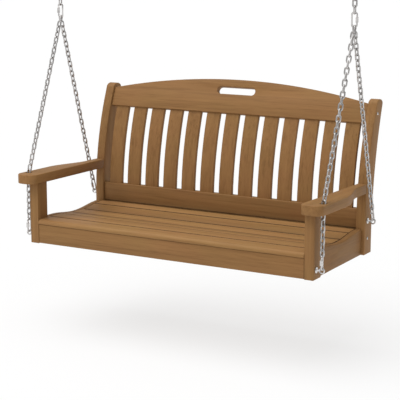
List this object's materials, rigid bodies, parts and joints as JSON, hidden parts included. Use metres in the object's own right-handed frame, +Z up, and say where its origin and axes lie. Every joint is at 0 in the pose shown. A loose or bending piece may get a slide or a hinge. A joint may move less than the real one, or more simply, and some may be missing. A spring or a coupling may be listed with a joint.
{
  "type": "porch swing",
  "caption": "Wooden porch swing: slatted dished seat and curved back between arms, hung on V-shaped link chains from ceiling hangers so that it swings and tilts.",
  "frame": {"origin": "On the ceiling plane, midway between the two hangers, straight above the line on which the bench hangs", "axes": "+X to the sitter's left along the bench, +Y from the seat's front towards its back, +Z up"},
  "size_m": [1.388, 0.6614, 1.2182],
  "materials": {
    "seat_lumber": "satin",
    "back_lumber": "satin",
    "frame_lumber": "satin",
    "chain_zinc": "bright",
    "fitting_steel": "bright"
  },
  "bodies": {
    "ceiling": {"left_ceiling_hanger": "fitting_steel", "right_ceiling_hanger": "fitting_steel"},
    "left_top_link": {"left_top_link": "fitting_steel"},
    "left_upper_chain": {"left_upper_chain": "chain_zinc"},
    "left_junction_link": {"left_junction_link": "fitting_steel"},
    "right_top_link": {"right_top_link": "fitting_steel"},
    "right_upper_chain": {"right_upper_chain": "chain_zinc"},
    "right_junction_link": {"right_junction_link": "fitting_steel"},
    "bench": {"back_slat_01": "back_lumber", "back_slat_02": "back_lumber", "back_slat_03": "back_lumber", "back_slat_04": "back_lumber", "back_slat_05": "back_lumber", "back_slat_06": "back_lumber", "back_slat_07": "back_lumber", "back_slat_08": "back_lumber", "back_slat_09": "back_lumber", "back_slat_10": "back_lumber", "back_slat_11": "back_lumber", "back_slat_12": "back_lumber", "back_slat_13": "back_lumber", "centre_seat_support": "frame_lumber", "crest_rail": "back_lumber", "front_apron": "seat_lumber", "left_arm": "frame_lumber", "left_crest_screw": "fitting_steel", "left_front_chain": "chain_zinc", "left_front_eye_bolt": "fitting_steel", "left_front_post": "frame_lumber", "left_front_quick_link": "fitting_steel", "left_rear_chain": "chain_zinc", "left_rear_eye_bolt": "fitting_steel", "left_rear_post": "frame_lumber", "left_rear_quick_link": "fitting_steel", "left_seat_cleat": "frame_lumber", "left_seat_screw": "fitting_steel", "left_side_rail": "frame_lumber", "lower_back_rail": "back_lumber", "rear_seat_rail": "frame_lumber", "right_arm": "frame_lumber", "right_crest_screw": "fitting_steel", "right_front_chain": "chain_zinc", "right_front_eye_bolt": "fitting_steel", "right_front_post": "frame_lumber", "right_front_quick_link": "fitting_steel", "right_rear_chain": "chain_zinc", "right_rear_eye_bolt": "fitting_steel", "right_rear_post": "frame_lumber", "right_rear_quick_link": "fitting_steel", "right_seat_cleat": "frame_lumber", "right_seat_screw": "fitting_steel", "right_side_rail": "frame_lumber", "seat_slat_1": "seat_lumber", "seat_slat_2": "seat_lumber", "seat_slat_3": "seat_lumber", "seat_slat_4": "seat_lumber", "seat_slat_5": "seat_lumber", "seat_slat_6": "seat_lumber"}
  },
  "joints": [
    {"name": "left_swing", "type": "hinge", "parent": "ceiling", "child": "left_top_link", "pos_m": [0.649, 0, -0.041], "axis": [1, 0, 0], "range_deg": [-25, 25]},
    {"name": "left_sway", "type": "hinge", "parent": "left_top_link", "child": "left_upper_chain", "pos_m": [0.649, 0, -0.0876], "axis": [0, 1, 0], "range_deg": [-6, 6]},
    {"name": "left_level", "type": "hinge", "parent": "left_upper_chain", "child": "left_junction_link", "pos_m": [0.649, 0, -0.27584], "axis": [0, 1, 0], "range_deg": [-6, 6]},
    {"name": "bench_tilt", "type": "hinge", "parent": "left_junction_link", "child": "bench", "pos_m": [0.649, 0, -0.32419], "axis": [1, 0, 0], "range_deg": [-10, 10]},
    {"name": "right_swing", "type": "hinge", "parent": "ceiling", "child": "right_top_link", "pos_m": [-0.649, 0, -0.041], "axis": [1, 0, 0], "range_deg": [-25, 25]},
    {"name": "right_sway", "type": "hinge", "parent": "right_top_link", "child": "right_upper_chain", "pos_m": [-0.649, 0, -0.0876], "axis": [0, 1, 0], "range_deg": [-6, 6]},
    {"name": "right_level", "type": "hinge", "parent": "right_upper_chain", "child": "right_junction_link", "pos_m": [-0.649, 0, -0.27584], "axis": [0, 1, 0], "range_deg": [-6, 6]}
  ],
  "couplings": [
    {"joint": "left_level", "follows": "left_sway", "ratio": -1},
    {"joint": "right_swing", "follows": "left_swing", "ratio": 1},
    {"joint": "right_sway", "follows": "left_sway", "ratio": 1},
    {"joint": "right_level", "follows": "left_sway", "ratio": -1}
  ]
}
